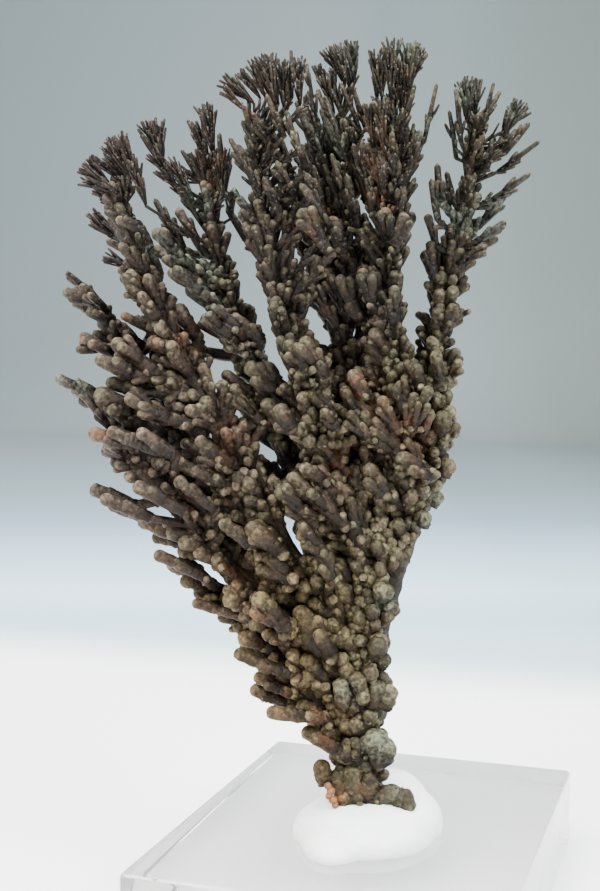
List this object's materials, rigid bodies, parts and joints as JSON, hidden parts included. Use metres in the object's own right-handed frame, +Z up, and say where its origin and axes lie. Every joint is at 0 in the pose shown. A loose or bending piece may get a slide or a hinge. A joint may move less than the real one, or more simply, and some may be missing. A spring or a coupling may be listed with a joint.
{
  "type": "dendritic copper specimen on a clear display slab",
  "caption": "Fan of branching copper fingers and knobs, its foot bedded in white putty on a clear slab.",
  "frame": {"origin": "centre of the slab's underside", "axes": "+Z up, X along the slab's short side, Y along its long side with the viewer towards -Y"},
  "size_m": [0.0535, 0.051, 0.1002],
  "materials": {
    "clear_acrylic": "clear cast acrylic, polished",
    "white_putty": "soft white mounting putty",
    "aged_copper": "matte brown tarnish with a green bloom"
  },
  "bodies": {
    "root": {"acrylic_base": "clear_acrylic", "putty_mound": "white_putty", "trunk": "aged_copper", "right_branch": "aged_copper", "centre_right_branch": "aged_copper", "centre_branch": "aged_copper", "centre_left_branch": "aged_copper", "upper_left_branch": "aged_copper", "high_left_branch": "aged_copper", "middle_left_branch": "aged_copper", "low_left_branch": "aged_copper", "bottom_left_branch": "aged_copper"}
  },
  "joints": []
}
